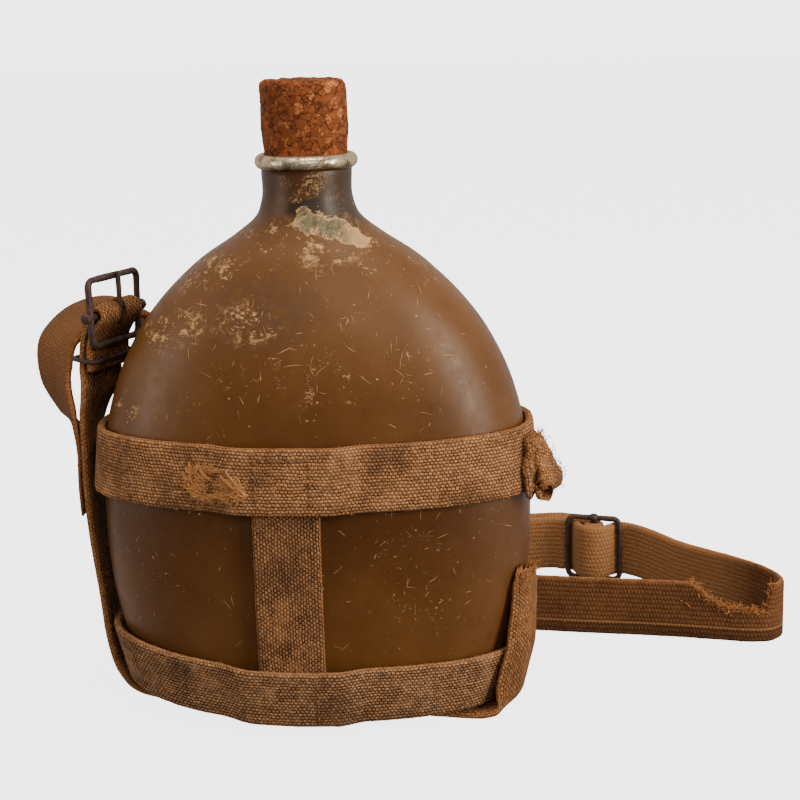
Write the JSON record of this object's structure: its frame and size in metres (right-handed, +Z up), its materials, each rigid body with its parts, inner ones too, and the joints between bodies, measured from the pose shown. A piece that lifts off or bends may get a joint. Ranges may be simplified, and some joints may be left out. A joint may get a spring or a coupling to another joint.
{
  "type": "canteen",
  "caption": "Flat round-shouldered metal flask with a cork stopper, held in a worn webbing carrier with a buckled sling and a loose torn shoulder strap.",
  "frame": {"origin": "on the surface the canteen stands on, directly under the flask's axis, at the flat underside of the sling where it passes beneath the flask", "axes": "+Z up along the flask's axis, -Y towards the flask's front face, +X to the right of the front face"},
  "size_m": [0.2652, 0.1811, 0.212],
  "materials": {
    "brown_paint": "satin brown paint over metal, chipped and scratched",
    "cork": "natural cork, matt",
    "webbing": "woven cotton, worn",
    "dark_wire": "dark brown patina",
    "thread": "sewing thread, matt"
  },
  "bodies": {
    "canteen": {"flask_body": "brown_paint", "upper_band": "webbing", "lower_band": "webbing", "cradle_strap": "webbing", "sling_strap": "webbing", "torn_stub": "webbing", "shoulder_strap": "webbing", "slider_frame": "dark_wire", "slider_bar": "dark_wire", "thread_upper_front": "thread", "thread_upper_back": "thread", "thread_lower_front": "thread", "thread_lower_back": "thread", "thread_left": "thread"},
    "cork": {"cork_stopper": "cork"},
    "buckle": {"buckle_frame": "dark_wire", "buckle_bar": "dark_wire"},
    "prong": {"buckle_prong": "dark_wire"},
    "keeper": {"strap_keeper": "dark_wire"},
    "short_end": {"short_strap": "webbing", "thread_short_strap": "thread"}
  },
  "joints": [
    {"name": "cork_pull", "type": "slide", "parent": "canteen", "child": "cork", "axis": [0, 0, 1], "range_m": [0, 0.045]},
    {"name": "buckle_swing", "type": "hinge", "parent": "canteen", "child": "buckle", "pos_m": [-0.0665, 0, 0.1363], "axis": [0.3907, 0.9205, 0], "range_deg": [-10, 0]},
    {"name": "prong_swing", "type": "hinge", "parent": "buckle", "child": "prong", "pos_m": [-0.0665, 0, 0.1363], "axis": [0.3907, 0.9205, 0], "range_deg": [0, 70]},
    {"name": "keeper_slide", "type": "slide", "parent": "canteen", "child": "keeper", "axis": [0.064, -0.027, 0.9976], "range_m": [-0.003, 0.002]},
    {"name": "short_strap_swing", "type": "hinge", "parent": "canteen", "child": "short_end", "pos_m": [0.099, 0.1195, 0.0145], "axis": [0, 0, 1], "range_deg": [-25, 0]}
  ]
}
